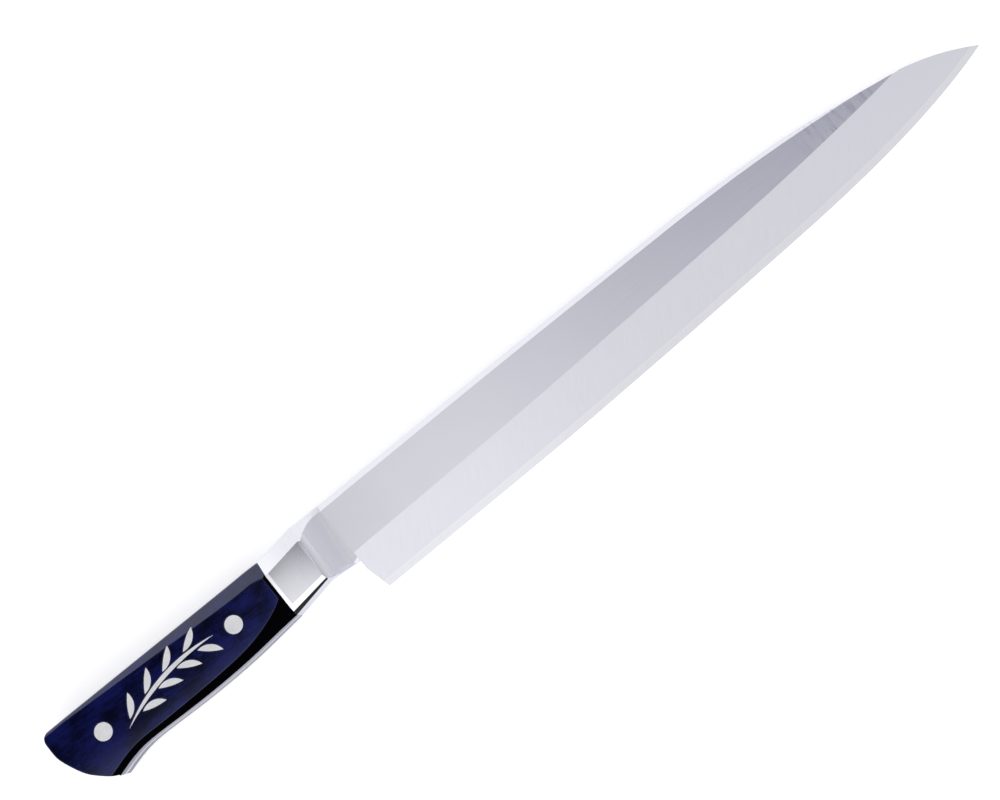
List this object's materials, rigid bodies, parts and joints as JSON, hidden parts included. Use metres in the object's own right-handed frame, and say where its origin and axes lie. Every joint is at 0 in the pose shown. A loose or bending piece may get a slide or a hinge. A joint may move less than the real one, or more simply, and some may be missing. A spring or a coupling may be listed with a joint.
{
  "type": "yanagiba knife",
  "caption": "Long narrow single-bevel slicing knife with a laminated blade, welded steel bolster and full-tang handle with flush metal inlay.",
  "frame": {"origin": "under the middle of the knife's box, on the plane that it lies on", "axes": "+X along the blade towards the point, +Y from the cutting edge to the spine, +Z out of the bevelled front face, so the knife lies on its flat back side"},
  "size_m": [0.3896, 0.0362, 0.019],
  "materials": {
    "hard_steel": "finely ground, polished at the edge",
    "soft_steel": "satin, with fine slanting grinding lines",
    "bolster_steel": "polished",
    "tang_steel": "satin",
    "dyed_wood": "dark blue dyed, resin filled and buffed to a gloss",
    "inlay_metal": "satin, flush with the wood",
    "rivet_metal": "satin, ground flush"
  },
  "bodies": {
    "root": {"blade_core": "hard_steel", "blade_cladding": "soft_steel", "bolster": "bolster_steel", "tang": "tang_steel", "handle_scale_front": "dyed_wood", "handle_scale_back": "dyed_wood", "inlay_stem": "inlay_metal", "inlay_leaves": "inlay_metal", "rivet_barrels": "rivet_metal", "rivet_pins": "rivet_metal"}
  },
  "joints": []
}
